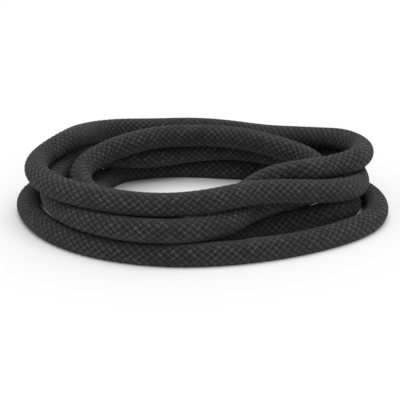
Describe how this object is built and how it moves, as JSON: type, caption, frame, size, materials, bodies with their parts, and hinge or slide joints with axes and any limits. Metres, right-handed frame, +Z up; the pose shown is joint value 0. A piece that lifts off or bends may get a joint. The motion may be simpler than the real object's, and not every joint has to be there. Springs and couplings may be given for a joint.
{
  "type": "battle rope",
  "caption": "Thick braided training rope laid down in a loose coil of stacked loops, with a closed grip cap over each end.",
  "frame": {"origin": "on the floor, under the middle of the coil's box", "axes": "+X to the right along the coil's long side, +Y away from its near side, +Z up"},
  "size_m": [0.8356, 0.6884, 0.1528],
  "materials": {
    "braid": "matt charcoal braid of fine yarn",
    "core_yarn": "matt dark grey yarn",
    "whipping_tape": "smooth black tape",
    "cap_sheath": "satin black shrunk sheath"
  },
  "bodies": {
    "root": {"braided_cover": "braid", "core_strand_1": "core_yarn", "core_strand_2": "core_yarn", "core_strand_3": "core_yarn", "end_whipping_far": "whipping_tape", "end_whipping_near": "whipping_tape", "grip_cap_far": "cap_sheath", "grip_cap_near": "cap_sheath"}
  },
  "joints": []
}
